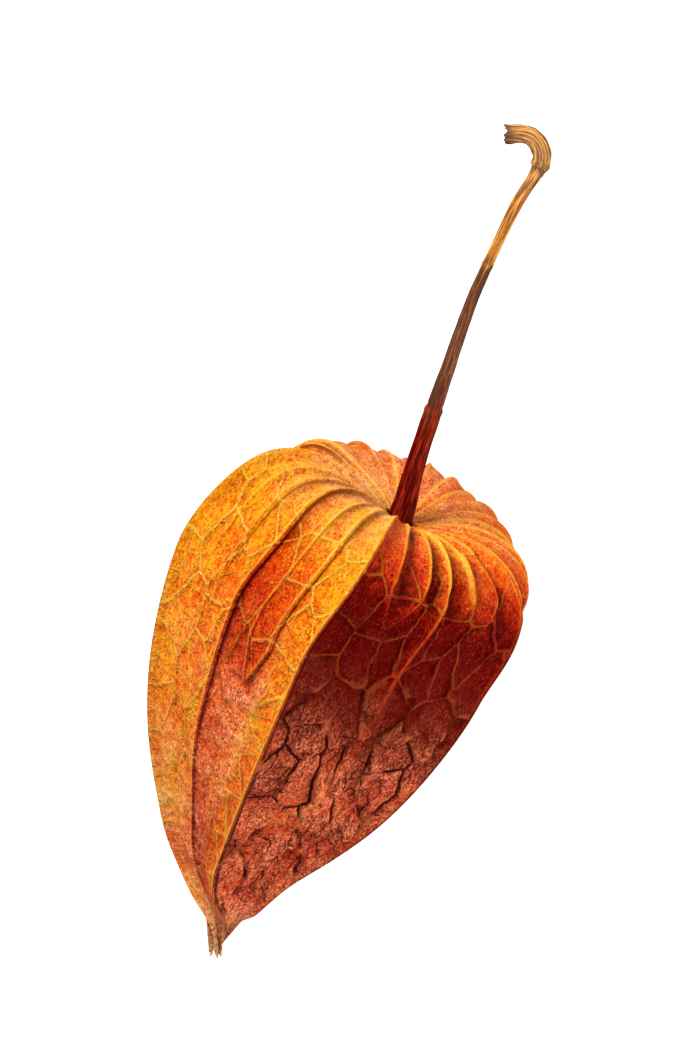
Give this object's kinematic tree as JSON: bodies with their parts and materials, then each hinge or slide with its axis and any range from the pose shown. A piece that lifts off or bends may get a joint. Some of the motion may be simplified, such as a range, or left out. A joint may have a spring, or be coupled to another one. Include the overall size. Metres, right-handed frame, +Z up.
{
  "type": "physalis berry",
  "caption": "Dried physalis fruit as picked: a hollow papery husk with keels, ribs and a raised net, closed round a berry on its hooked stalk, lying on its side.",
  "frame": {"origin": "on the surface it rests on, under the middle of its box", "axes": "+Z up from the surface, +Y from the husk's tip towards its stalk, +X to the right seen from above with the stalk away"},
  "size_m": [0.0394, 0.1028, 0.036],
  "materials": {
    "husk": "matte",
    "berry": "gloss",
    "stalk": "matte"
  },
  "bodies": {
    "root": {"husk": "husk", "berry": "berry", "stalk": "stalk"}
  },
  "joints": []
}
